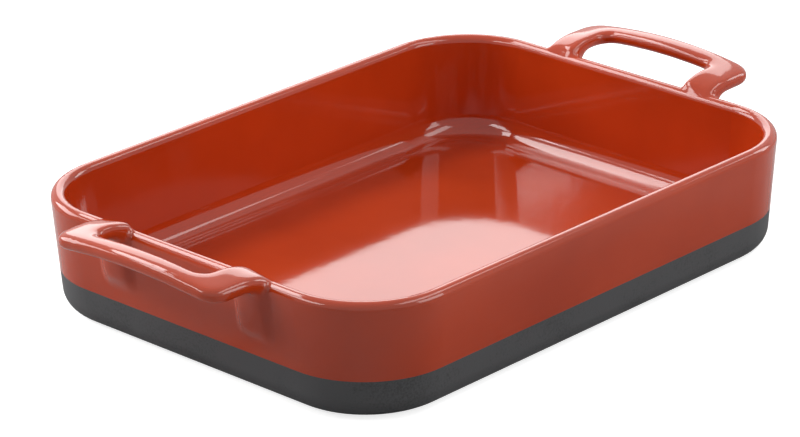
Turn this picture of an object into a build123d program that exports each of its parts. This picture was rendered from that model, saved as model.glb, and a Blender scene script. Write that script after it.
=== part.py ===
from build123d import *
from math import asin, degrees, radians, sqrt, tan
import os

# Lasagna dish in glazed stoneware, in millimetres.
# The origin is at the centre of the face that it stands on.
# +X runs along the length towards one handle, +Y across and +Z up.

# Tub
rim_length = 340.0
rim_width = 255.0
rim_height = 63.0
rim_corner_radius = 51.5
wall_thickness = 8.0
wall_draft = 4.4  # degrees that each wall leans outwards
floor_thickness = 7.0
base_edge_radius = 10.9
cove_radius = 12.0
rim_edge_radius = 3.8  # of both edges, so that the rim is nearly a full round
rim_land = 0.3  # the least flat that is left between them

# Foot: a shallow recess under the floor leaves a ring to stand on
foot_ring_width = 9.0
foot_recess_depth = 1.5
foot_recess_edge_radius = 0.8

# Glaze
glaze_thickness = 0.5
glaze_line_height = 21.6  # bare clay shows below this
lip_drop = 4.8  # the lining comes over the rim and this far down outside

# Handles: each is a loop of one grip and two arms, highest at the grip's middle
grip_reach = 36.0  # from the rim's outer face to the grip's outer face
grip_width = 14.0
grip_rise = 10.0  # top of the grip above the rim, at its middle
grip_half_length = 58.0
grip_corner_radius = 11.0
grip_bow = 1.6  # how far the middle of the grip stands out beyond its ends
loop_thickness = 8.0
loop_edge_radius = 2.8
loop_arch_drop = 4.8  # how much lower the loop is at the grip's ends
arm_width = 20.5  # at the rim
arm_splay = 0.5  # how much further out an arm's outer flank is there than at the grip
arm_crest_setback = 13.0  # from the rim's outer face to where an arm's top turns level
arm_nose_setback = 2.0  # from the rim's inner face to an arm's end
arm_nose_rise = 2.6  # how far that end stands above the rim
arm_nose_slope = 22.0  # degrees at which its top leaves that end
arm_nose_radius = 3.4
window_corner_radius = 6.5  # of the gap that the fingers go through

# Supports: each arm is carried by a pad on the wall that sweeps out under it
support_thickness = 5.0  # of the pad where the sweep starts
support_foot_thickness = 3.0
support_sweep_radius = 7.0
support_foot_height = 31.0  # where the pad dies out on the wall
support_fade = 5.0  # the height that it takes to die out
support_foot_radius = 4.0

# One overrun for every cut, and how near two edges lie that count as one
overrun = 20.0
seam_gap = 0.01

# Worked out from the sizes above
half_length = rim_length / 2
draft_slope = tan(radians(wall_draft))
arm_root = half_length - wall_thickness + arm_nose_setback
arm_half_span = grip_half_length + arm_splay
window_half_length = arm_half_span - arm_width
arm_middle = (window_half_length + arm_half_span) / 2
grip_front = half_length + grip_reach
grip_top = rim_height + grip_rise
arch_radius = (grip_half_length**2 + loop_arch_drop**2) / (2 * loop_arch_drop)
arch_axis = Axis((0, 0, grip_top - arch_radius), (1, 0, 0))
arm_drop = arch_radius - sqrt(arch_radius**2 - arm_middle**2)
loop_under = grip_top - loop_thickness


def wall_at(height):
    # How far out the tub's end wall is at one height
    return half_length - (rim_height - height) * draft_slope


pad_top = wall_at(loop_under) + support_thickness


# Tub
def envelope(inset, low, high):
    # The space inside the rim's outline, set in by one distance, with the walls' draft
    shrink = inset + (rim_height - low) * draft_slope
    outline = Plane.XY.offset(low) * RectangleRounded(
        rim_length - 2 * shrink,
        rim_width - 2 * shrink,
        rim_corner_radius - shrink,
    )
    return extrude(outline, amount=high - low, taper=-wall_draft)


def block(skin):
    # The tub without its hollow, under a skin of one thickness
    body = envelope(skin, 0, rim_height - skin)
    return fillet(body.edges().group_by(Axis.Z)[0], base_edge_radius)


def hollow(skin):
    # The space for the food, widened by the skin, with a cove round its floor
    space = envelope(wall_thickness - skin, floor_thickness - skin, rim_height + overrun)
    return fillet(space.edges().group_by(Axis.Z)[0], cove_radius + skin)


def soft_rim(body, skin):
    # Rounds both edges of the rim, as far as the wall's thickness has room for
    radius = min(rim_edge_radius, (wall_thickness - rim_land) / 2) - skin
    land = body.faces().sort_by(Axis.Z)[-1]
    body = fillet(land.outer_wire().edges(), radius)
    land = body.faces().sort_by(Axis.Z)[-1]
    return fillet(land.inner_wires()[0].edges(), radius)


def tub(skin):
    return soft_rim(block(skin) - hollow(skin), skin)


def foot_recess():
    # The hollow under the floor, inside the ring that the dish stands on
    shrink = rim_height * draft_slope + base_edge_radius + foot_ring_width
    outline = RectangleRounded(
        rim_length - 2 * shrink,
        rim_width - 2 * shrink,
        rim_corner_radius - shrink,
    )
    space = extrude(outline, amount=foot_recess_depth)
    return fillet(space.edges().group_by(Axis.Z)[-1], foot_recess_edge_radius)


# Glaze
def layer(low, high):
    # Everything between two heights
    size = (rim_length + 2 * overrun, rim_width + 2 * overrun, high - low)
    return Pos(0, 0, low) * Box(*size, align=(Align.CENTER, Align.CENTER, Align.MIN))


def glaze_coats(whole):
    # The skin of the tub, as the lining with the rim and as the band round the outside
    lip = rim_height - lip_drop
    under = block(glaze_thickness)
    skin = whole - tub(glaze_thickness)
    lining = skin & (under + layer(lip, rim_height + overrun))
    band = (whole - under) & layer(glaze_line_height, lip)
    return lining, band


# Handles
def loop_profile():
    # Side view of the grip and an arm at the middle of the dish, before it is arched
    nose = (arm_root, rim_height + arm_nose_rise + arm_drop)
    rise = Spline(
        nose,
        (half_length + arm_crest_setback, grip_top),
        tangents=[(1, tan(radians(arm_nose_slope))), (1, 0)],
    )
    rest = Polyline(
        (rise @ 1),
        (grip_front, grip_top),
        (grip_front, loop_under),
        (arm_root, loop_under),
        (rise @ 0),
    )
    profile = make_face(Curve() + [rise, rest])
    return fillet(profile.vertices().sort_by_distance(nose)[0], arm_nose_radius)


def pad_profile():
    # Side view of a pad, from inside the arm to the slope where it dies out on the wall
    fade = support_foot_height + support_fade
    wall = wall_at(support_foot_height)
    pad_foot = wall_at(fade) + support_foot_thickness
    slope = support_fade / (pad_foot - wall)
    side = Polyline(
        (half_length, loop_under),
        (pad_top, loop_under),
        (pad_foot, fade),
        (arm_root, support_foot_height - (wall - arm_root) * slope),
        close=True,
    )
    profile = make_face(side)
    corner = profile.vertices().sort_by_distance((pad_foot, fade))[0]
    return fillet(corner, support_foot_radius)


def arched(profile):
    # Turns the side view about a low axis, so that the loop is highest in the middle
    angle = degrees(asin((arm_half_span + overrun) / arch_radius))
    swept = revolve(Plane.XZ * profile, axis=arch_axis, revolution_arc=2 * angle)
    return swept.rotate(arch_axis, -angle)


def loop_outline():
    # Plan of the whole loop, with its round corners and slightly bowed front
    end = grip_front - grip_bow
    sides = Polyline(
        (end, -grip_half_length),
        (arm_root, -arm_half_span),
        (arm_root, arm_half_span),
        (end, grip_half_length),
    )
    bow = ThreePointArc((sides @ 1), (grip_front, 0), (sides @ 0))
    plan = make_face(Curve() + [sides, bow])
    return fillet(plan.vertices().group_by(Axis.X)[-1], grip_corner_radius)


def window_outline():
    # Plan of the finger gap, carried on through the wall
    start = arm_root - overrun
    length = grip_front - grip_width - start
    gap = Rectangle(length, 2 * window_half_length, align=(Align.MIN, Align.CENTER))
    gap = Pos(start, 0) * gap
    return fillet(gap.vertices().group_by(Axis.X)[-1], window_corner_radius)


def right_loop():
    # The whole loop, with its arms carried on through the tub's end wall
    height = grip_top + overrun
    outline = loop_outline()
    window = window_outline()
    rails = outline.edges() + window.edges()
    pads = extrude(Plane.XZ * pad_profile(), amount=arm_half_span + overrun, both=True)
    loop = (arched(loop_profile()) + pads) & extrude(outline, amount=height)
    sweep = loop.edges().sort_by_distance((pad_top, 0, loop_under))[0]
    loop = fillet(sweep, support_sweep_radius)
    loop -= extrude(window, amount=height)

    def on_flank(edge):
        # Runs along a flank and comes out of the wall
        start, middle, end = edge @ 0, edge @ 0.5, edge @ 1
        upright = Vector(start.X, start.Y) == Vector(end.X, end.Y)
        outer = max(start, end, key=lambda point: point.X)
        rail_gap = min(rail.distance_to(Vertex(middle.X, middle.Y, 0)) for rail in rails)
        return not upright and outer.X > wall_at(outer.Z) and rail_gap < seam_gap

    return fillet(loop.edges().filter_by(on_flank), loop_edge_radius)


whole = tub(0)
inner_glaze, outer_glaze = glaze_coats(whole)
clay_body = whole - inner_glaze - outer_glaze - foot_recess()
right_handle = right_loop() - whole
left_handle = mirror(right_handle, about=Plane.YZ)

pieces = {
    "clay_body": clay_body,
    "inner_glaze": inner_glaze,
    "outer_glaze": outer_glaze,
    "left_handle": left_handle,
    "right_handle": right_handle,
}
os.makedirs("parts", exist_ok=True)
for name, piece in pieces.items():
    export_step(piece, f"parts/{name}.step")
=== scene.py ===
# %% [markdown]
# # A glazed lasagna dish
# This file dresses a lasagna dish for a studio picture. The dish is cast stoneware: a thick tub
# with leaning walls, round corners and a loop handle at each end. A glossy orange-red glaze covers
# it inside, over the rim and down the outside to a straight line. Below that line the dark clay is
# bare. The solid model comes in first and stays where it is. Everything here is built round it,
# in metres, with +X along the dish, +Y across and +Z up.

from math import cos, pi, radians, sin, tan

import bmesh
import bpy
from mathutils import Matrix, Vector
from mathutils.bvhtree import BVHTree


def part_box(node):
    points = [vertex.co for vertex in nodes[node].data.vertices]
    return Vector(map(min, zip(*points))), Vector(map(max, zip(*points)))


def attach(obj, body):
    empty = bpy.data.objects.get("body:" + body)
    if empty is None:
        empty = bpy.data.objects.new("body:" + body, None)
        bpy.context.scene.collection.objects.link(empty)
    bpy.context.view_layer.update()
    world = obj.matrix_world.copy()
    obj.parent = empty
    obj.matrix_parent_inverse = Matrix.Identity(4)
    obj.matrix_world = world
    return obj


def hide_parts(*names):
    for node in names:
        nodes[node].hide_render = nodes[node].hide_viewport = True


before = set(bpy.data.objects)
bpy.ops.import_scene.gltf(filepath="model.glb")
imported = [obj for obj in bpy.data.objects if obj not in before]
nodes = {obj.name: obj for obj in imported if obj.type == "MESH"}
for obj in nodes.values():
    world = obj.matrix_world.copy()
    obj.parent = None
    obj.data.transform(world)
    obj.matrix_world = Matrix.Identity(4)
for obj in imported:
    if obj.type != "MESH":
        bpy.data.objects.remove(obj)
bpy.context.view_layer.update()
BODY = "root"
MM = 0.001
scene = bpy.context.scene
print("solid pieces:", sorted(nodes))

# %% [markdown]
# ## Sizes
# A potter thinks of this dish in a few sizes: how long and high the rim is, how thick the wall is
# and how far it leans. They are the solid model's sizes, so the new surfaces lie on it. The rim's
# half length, to the nearest millimetre, and its height are measured from the solid. The rest are
# named here.

# %% Sizes of the tub
low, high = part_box("inner_glaze")
rim_half_length = round((high.x - low.x) / 2 / MM) * MM
rim_height = high.z
wall = 8 * MM
draft = 4.4  # degrees that each wall leans outwards
lean = tan(radians(draft))
rim_edge = 3.8 * MM
print("rim's half length", rim_half_length, "and height", rim_height)

# %% [markdown]
# ## Shading helpers
# Each finish is a small node tree. Two helpers keep those trees short: one adds a node and sets
# its inputs, the other starts a material and hands back its shader.

# %% Node helpers
def node(tree, kind, place=(0, 0), **inputs):
    made = tree.nodes.new(kind)
    made.location = place
    for name, value in inputs.items():
        socket = made.inputs[name.replace("_", " ")]
        if isinstance(value, bpy.types.NodeSocket):
            tree.links.new(value, socket)
        else:
            socket.default_value = value
    return made


def new_material(name):
    material = bpy.data.materials.new(name)
    material.use_nodes = True
    tree = material.node_tree
    shader = tree.nodes["Principled BSDF"]
    return material, tree, shader


def ramp(tree, factor, place, *stops):
    made = node(tree, "ShaderNodeValToRGB", place, Fac=factor)
    colours = made.color_ramp.elements
    while len(colours) < len(stops):
        colours.new(1.0)
    for element, (position, colour) in zip(colours, stops):
        element.position = position
        element.color = (*colour, 1.0)
    return made


# %% [markdown]
# ## The red glaze
# A fired glaze is a thin layer of glass. Its colour comes from pigment in the glass and varies a
# little where it ran thick or thin, and its surface is smooth but never quite flat: it has a slow
# ripple, called orange peel. So the colour takes a broad, faint noise, the roughness a finer one,
# and a very small bump bends the reflections.

# %% Red glaze material
thick_glaze, thin_glaze = (0.43, 0.038, 0.0055), (0.52, 0.050, 0.0080)
flow_scale, smear_scale, peel_scale = 14.0, 60.0, 120.0
glaze_smoothest, glaze_roughest = 0.055, 0.09
peel_depth = 0.5 * MM


def red_glaze():
    material, tree, shader = new_material("red_glaze")
    place = node(tree, "ShaderNodeTexCoord", (-1100, 0)).outputs["Object"]
    flow = node(tree, "ShaderNodeTexNoise", (-900, 200), Vector=place, Scale=flow_scale, Detail=3.0)
    colour = ramp(
        tree, flow.outputs["Fac"], (-650, 200),
        (0.30, thick_glaze),
        (0.70, thin_glaze),
    )
    smear = node(tree, "ShaderNodeTexNoise", (-900, -80), Vector=place, Scale=smear_scale, Detail=2.0)
    rough = node(tree, "ShaderNodeMapRange", (-650, -80), Value=smear.outputs["Fac"])
    rough.inputs["To Min"].default_value = glaze_smoothest
    rough.inputs["To Max"].default_value = glaze_roughest
    peel = node(tree, "ShaderNodeTexNoise", (-900, -360), Vector=place, Scale=peel_scale, Detail=1.0)
    bump = node(tree, "ShaderNodeBump", (-400, -360), Height=peel.outputs["Fac"])
    bump.inputs["Strength"].default_value = 0.05
    bump.inputs["Distance"].default_value = peel_depth
    tree.links.new(colour.outputs["Color"], shader.inputs["Base Color"])
    tree.links.new(rough.outputs["Result"], shader.inputs["Roughness"])
    tree.links.new(bump.outputs["Normal"], shader.inputs["Normal"])
    shader.inputs["IOR"].default_value = 1.5
    return material


glaze_finish = red_glaze()
print("made", glaze_finish.name)

# %% [markdown]
# ## The bare clay
# Below the glaze line the fired clay shows: dark grey, matte and slightly gritty. Fine noise
# speckles the colour and lifts the surface a little, so that it scatters light softly.

# %% Bare clay material
clay_dark, clay_light = (0.036, 0.037, 0.039), (0.066, 0.067, 0.070)
grain_scale, cloud_scale = 900.0, 25.0
grain_depth = 0.2 * MM
clay_roughness = 0.62


def bare_clay():
    material, tree, shader = new_material("bare_clay")
    place = node(tree, "ShaderNodeTexCoord", (-1100, 0)).outputs["Object"]
    grain = node(tree, "ShaderNodeTexNoise", (-900, 200), Vector=place, Scale=grain_scale, Detail=4.0)
    cloud = node(tree, "ShaderNodeTexNoise", (-900, 0), Vector=place, Scale=cloud_scale, Detail=3.0)
    mixed = node(tree, "ShaderNodeMath", (-700, 120))
    mixed.operation = "ADD"
    tree.links.new(grain.outputs["Fac"], mixed.inputs[0])
    tree.links.new(cloud.outputs["Fac"], mixed.inputs[1])
    colour = ramp(
        tree, mixed.outputs["Value"], (-500, 120),
        (0.70, clay_dark),
        (1.00, clay_light),
    )
    bump = node(tree, "ShaderNodeBump", (-400, -300), Height=grain.outputs["Fac"])
    bump.inputs["Strength"].default_value = 0.25
    bump.inputs["Distance"].default_value = grain_depth
    tree.links.new(colour.outputs["Color"], shader.inputs["Base Color"])
    tree.links.new(bump.outputs["Normal"], shader.inputs["Normal"])
    shader.inputs["Roughness"].default_value = clay_roughness
    return material


clay_finish = bare_clay()
print("made", clay_finish.name)


# %% [markdown]
# ## The tub
# The clay body, the lining and the band outside are right as they come from the solid model, so
# they stay and only take their finishes.

# %% Dress the tub
def dress(name, material):
    mesh = nodes[name].data
    mesh.materials.clear()
    mesh.materials.append(material)


dress("clay_body", clay_finish)
dress("inner_glaze", glaze_finish)
dress("outer_glaze", glaze_finish)
print("dressed the tub's three solids")

# %% [markdown]
# ## The handles
# Each handle is a loop of clay that was joined to the tub before firing. Glaze runs over the
# joint and pools in it, and it rounds every edge, so the loop looks soft and grows out of the
# wall. A bevel can't follow a joint between two curved bodies. So a copy of the solid handle is
# joined to a piece of the wall, the pair is remeshed into one even skin, and that skin is smoothed:
# smoothing wears down edges and fills corners, just as glaze does.
#
# The piece of wall, here called a root, lies a hair under the tub's own surface. It stays hidden,
# and only the soft fillet that grows from it rises above the wall.

# %% A root in the wall
sink = 0.02 * MM  # how far the root lies under the tub's surface
arm_middle = 48.25 * MM  # from the middle of the end wall
root_half_span = 17 * MM
root_foot = 24 * MM  # above the floor
rim_steps = 14  # flats that each rim round is made of


def merged_copy(name):
    shape = bmesh.new()
    shape.from_mesh(nodes[name].data)
    bmesh.ops.remove_doubles(shape, verts=shape.verts, dist=0.001 * MM)
    return shape


def wall_root(middle):
    # A block as thick as the end wall, leaning and rounded at the rim as it is
    root = bmesh.new()
    bmesh.ops.create_cube(root, size=1.0)
    top = rim_height - sink
    size = (wall - 2 * sink, 2 * root_half_span, top - root_foot)
    bmesh.ops.scale(root, verts=root.verts, vec=size)
    centre = Vector((rim_half_length - wall / 2, middle, (top + root_foot) / 2))
    bmesh.ops.translate(root, verts=root.verts, vec=centre)
    tilt = Matrix.Identity(4)
    tilt[0][2] = lean
    tilt[0][3] = -lean * rim_height
    bmesh.ops.transform(root, matrix=tilt, verts=root.verts)
    radius = rim_edge - sink
    for outside in (True, False):
        rim_edges = [
            e for e in root.edges
            if min(v.co.z for v in e.verts) > top - sink
            and abs(e.verts[0].co.y - e.verts[1].co.y) > root_half_span
            and (e.verts[0].co.x > centre.x) == outside
        ]
        edge = max(rim_edges, key=lambda e: e.verts[0].co.x * (1 if outside else -1))
        bend = radians(90 + draft if outside else 90 - draft)
        bmesh.ops.bevel(
            root, geom=[edge], offset=radius * tan(bend / 2), offset_type="OFFSET",
            affect="EDGES", segments=rim_steps, profile=0.5, material=-1,
        )
    return root


def add_shape(shape, part):
    mesh = bpy.data.meshes.new("part")
    part.to_mesh(mesh)
    shape.from_mesh(mesh)
    bpy.data.meshes.remove(mesh)


# %% [markdown]
# The remesh lays a fine even grid over the joined shape. Each point of the grid then asks two
# questions: how far is the handle, and how far is the wall? A point on the loop alone gets enough
# smoothing to round the loop's edges. A point that is near both lies in the joint and is smoothed
# further, so that a fillet forms. A point on the wall alone isn't moved.

# %% An even skin
grid = 0.6 * MM


def even_skin(shape):
    # The joined shape as one closed skin of even squares
    mesh = bpy.data.meshes.new("joined")
    shape.to_mesh(mesh)
    holder = bpy.data.objects.new("holder", mesh)
    scene.collection.objects.link(holder)
    remesh = holder.modifiers.new("remesh", "REMESH")
    remesh.mode, remesh.voxel_size, remesh.adaptivity = "VOXEL", grid, 0.0
    ready = holder.evaluated_get(bpy.context.evaluated_depsgraph_get())
    result = bpy.data.meshes.new_from_object(ready)
    bpy.data.objects.remove(holder)
    shape.clear()
    shape.from_mesh(result)


def largest_shell(shape):
    # Keeps the one big shell, and drops any small bubble inside it
    left, shells = set(shape.verts), []
    while left:
        shell, front = set(), [left.pop()]
        while front:
            vert = front.pop()
            shell.add(vert)
            near = [e.other_vert(vert) for e in vert.link_edges]
            near = [v for v in near if v in left]
            left.difference_update(near)
            front += near
        shells.append(shell)
    shells.sort(key=len)
    bubbles = [v for shell in shells[:-1] for v in shell]
    bmesh.ops.delete(shape, geom=bubbles, context="VERTS")
    return len(shells)


# %% Smooth the loop and its joints
edge_turns, joint_turns = 100, 60
loop_clear = 0.9 * MM  # points that are further than this from the wall are the loop's own
joint_reach, joint_fade = 4.5 * MM, 0.6
even = {"factor": 0.5, "use_axis_x": True, "use_axis_y": True, "use_axis_z": True}


def glazed_loop():
    loop = merged_copy("right_handle")
    handle_tree = BVHTree.FromBMesh(loop)
    roots = bmesh.new()
    for side in (-1, 1):
        add_shape(roots, wall_root(side * arm_middle))
    root_tree = BVHTree.FromBMesh(roots)
    add_shape(loop, roots)
    even_skin(loop)
    print("shells:", largest_shell(loop))
    off_handle = {v: handle_tree.find_nearest(v.co)[3] for v in loop.verts}
    off_root = {v: root_tree.find_nearest(v.co)[3] for v in loop.verts}
    on_loop = [v for v in loop.verts if off_root[v] > loop_clear]
    for turn in range(edge_turns):
        bmesh.ops.smooth_vert(loop, verts=on_loop, **even)
    for turn in range(joint_turns):
        reach = joint_reach * (1 - joint_fade * turn / joint_turns)
        joint = [v for v in loop.verts if max(off_handle[v], off_root[v]) < reach]
        bmesh.ops.smooth_vert(loop, verts=joint, **even)
    for face in loop.faces:
        face.smooth = True
    return loop


loop = glazed_loop()
print("loop:", len(loop.verts), "points,", 2 * len(loop.faces), "triangles")

# %% [markdown]
# The left handle is the right one in a mirror. Mirroring turns its faces inside out, so they are
# flipped back.

# %% Both handles
def finish_handle(name, shape, replaced):
    mesh = bpy.data.meshes.new(name)
    shape.to_mesh(mesh)
    mesh.materials.append(glaze_finish)
    handle = bpy.data.objects.new(name, mesh)
    scene.collection.objects.link(handle)
    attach(handle, BODY)
    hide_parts(replaced)
    return handle


right_loop = finish_handle("right_loop", loop, "right_handle")
bmesh.ops.scale(loop, verts=loop.verts, vec=(-1, 1, 1))
bmesh.ops.reverse_faces(loop, faces=loop.faces)
left_loop = finish_handle("left_loop", loop, "left_handle")
loop.free()
print("handles:", right_loop.name, left_loop.name)

# %% [markdown]
# ## The floor and the room
# The dish stands on a plain white floor that runs out of sight. To the camera and to shiny
# surfaces the room is plain white. What it adds to matte surfaces is close to nothing, so that
# the softboxes shape the dish. A floor of pure white paint would throw too much light up at the
# walls, so the floor is light grey and glows a little for the camera, which keeps its shadow.

# %% Floor and room
floor_half_size = 12.0
floor_grey = 0.60
floor_glow = 0.78  # added for the camera alone, so that the floor shows white


def white_floor():
    mesh = bpy.data.meshes.new("floor")
    shape = bmesh.new()
    bmesh.ops.create_grid(shape, x_segments=1, y_segments=1, size=floor_half_size)
    shape.to_mesh(mesh)
    shape.free()
    floor = bpy.data.objects.new("floor", mesh)
    scene.collection.objects.link(floor)
    material, tree, shader = new_material("white_floor")
    shader.inputs["Base Color"].default_value = (floor_grey, floor_grey, floor_grey, 1)
    shader.inputs["Roughness"].default_value = 0.9
    shader.inputs["Specular IOR Level"].default_value = 0.0
    light_path = node(tree, "ShaderNodeLightPath", (-500, -300))
    glow = node(tree, "ShaderNodeMath", (-250, -300))
    glow.operation = "MULTIPLY"
    tree.links.new(light_path.outputs["Is Camera Ray"], glow.inputs[0])
    glow.inputs[1].default_value = floor_glow
    shader.inputs["Emission Color"].default_value = (1, 1, 1, 1)
    tree.links.new(glow.outputs["Value"], shader.inputs["Emission Strength"])
    mesh.materials.append(material)
    return floor


def white_room(ambient):
    world = bpy.data.worlds.new("room")
    scene.world = world
    world.use_nodes = True
    tree = world.node_tree
    tree.nodes.clear()
    out = node(tree, "ShaderNodeOutputWorld", (600, 0))
    light_path = node(tree, "ShaderNodeLightPath", (-600, 200))
    seen = light_path.outputs["Is Camera Ray"]
    for place, ray in (((-350, 200), "Is Glossy Ray"), ((-150, 200), "Is Transmission Ray")):
        either = node(tree, "ShaderNodeMath", place)
        either.operation = "MAXIMUM"
        tree.links.new(seen, either.inputs[0])
        tree.links.new(light_path.outputs[ray], either.inputs[1])
        seen = either.outputs["Value"]
    dim = node(tree, "ShaderNodeBackground", (-150, -50), Color=(1, 1, 1, 1), Strength=ambient)
    plain = node(tree, "ShaderNodeBackground", (-150, -200), Color=(1, 1, 1, 1), Strength=1.0)
    mix = node(tree, "ShaderNodeMixShader", (300, 0), Fac=seen)
    tree.links.new(dim.outputs["Background"], mix.inputs[1])
    tree.links.new(plain.outputs["Background"], mix.inputs[2])
    tree.links.new(mix.outputs["Shader"], out.inputs["Surface"])


floor = white_floor()
white_room(ambient=0.02)
print("stage:", floor.name, "and", scene.world.name)


# %% [markdown]
# ## Light
# A glossy dish is lit by what it reflects. Each softbox is a flat panel that faces the dish, named
# by the side that it stands on. Its direction is an azimuth from +X and a height above the
# floor, both in degrees, and its brightness is what a mirror would show, where 1 is white. The
# back panel makes the broad shine on the dish's floor, and the small window a short bright one.

# %% Softboxes
lamp_distance = 1.6


def direction(azimuth, elevation):
    a, e = radians(azimuth), radians(elevation)
    return Vector((cos(a) * cos(e), sin(a) * cos(e), sin(e)))


def softbox(name, azimuth, elevation, width, height, brightness):
    # The width and height are angles as the dish sees them, in degrees
    lamp = bpy.data.lights.new(name, "AREA")
    lamp.shape = "RECTANGLE"
    lamp.size = 2 * lamp_distance * tan(radians(width / 2))
    lamp.size_y = 2 * lamp_distance * tan(radians(height / 2))
    lamp.energy = brightness * pi * lamp.size * lamp.size_y
    stand = bpy.data.objects.new(name, lamp)
    scene.collection.objects.link(stand)
    out = direction(azimuth, elevation)
    turn = out.to_track_quat("Z", "Y").to_matrix().to_4x4()
    stand.matrix_world = Matrix.Translation(out * lamp_distance) @ turn
    stand.visible_camera = False


softbox("back_panel", 46, 24, 34, 25, 2.5)
softbox("back_left_panel", 110, 24, 34, 22, 6.4)
softbox("high_left_panel", 98, 50, 36, 12, 8.4)
softbox("left_panel", 152, 40, 34, 12, 7.6)
softbox("small_window", 129.5, 30.4, 2.2, 0.9, 26)
softbox("right_panel", 292, 24, 28, 26, 3.9)
softbox("far_right_panel", 340, 26, 14, 24, 5.4)
softbox("high_right_panel", 304, 57, 50, 14, 4.2)

# %% [markdown]
# ## Camera
# The picture was taken with a long lens from about two metres, above one corner, so the long
# sides converge only a little. The aim, distance and lens were found by matching the rim.

# %% Camera
picture_width = 800
focal_pixels = 3946.7
sensor_width = 36.0
camera_azimuth, camera_elevation, camera_roll = -46.207, 22.440, -1.065
camera_distance = 2.0516
aim = Vector((-0.00756, 0.00725, 0.02893))


def photo_camera():
    data = bpy.data.cameras.new("camera")
    data.sensor_width = sensor_width
    data.lens = focal_pixels / picture_width * data.sensor_width
    camera = bpy.data.objects.new("camera", data)
    scene.collection.objects.link(camera)
    a, e = radians(camera_azimuth), radians(camera_elevation)
    back = Vector((sin(a) * cos(e), -cos(a) * cos(e), sin(e)))
    turn = (-back).to_track_quat("-Z", "Y").to_matrix().to_4x4()
    roll = Matrix.Rotation(radians(camera_roll), 4, "Z")
    camera.matrix_world = Matrix.Translation(aim + back * camera_distance) @ turn @ roll
    data.clip_start, data.clip_end = 0.05, 60
    scene.camera = camera
    return camera


camera = photo_camera()
print("lens", round(camera.data.lens, 1), "mm")

# %% [markdown]
# ## Colour
# The Standard view shows a colour as it is written.

# %% Colour
scene.view_settings.view_transform = "Standard"
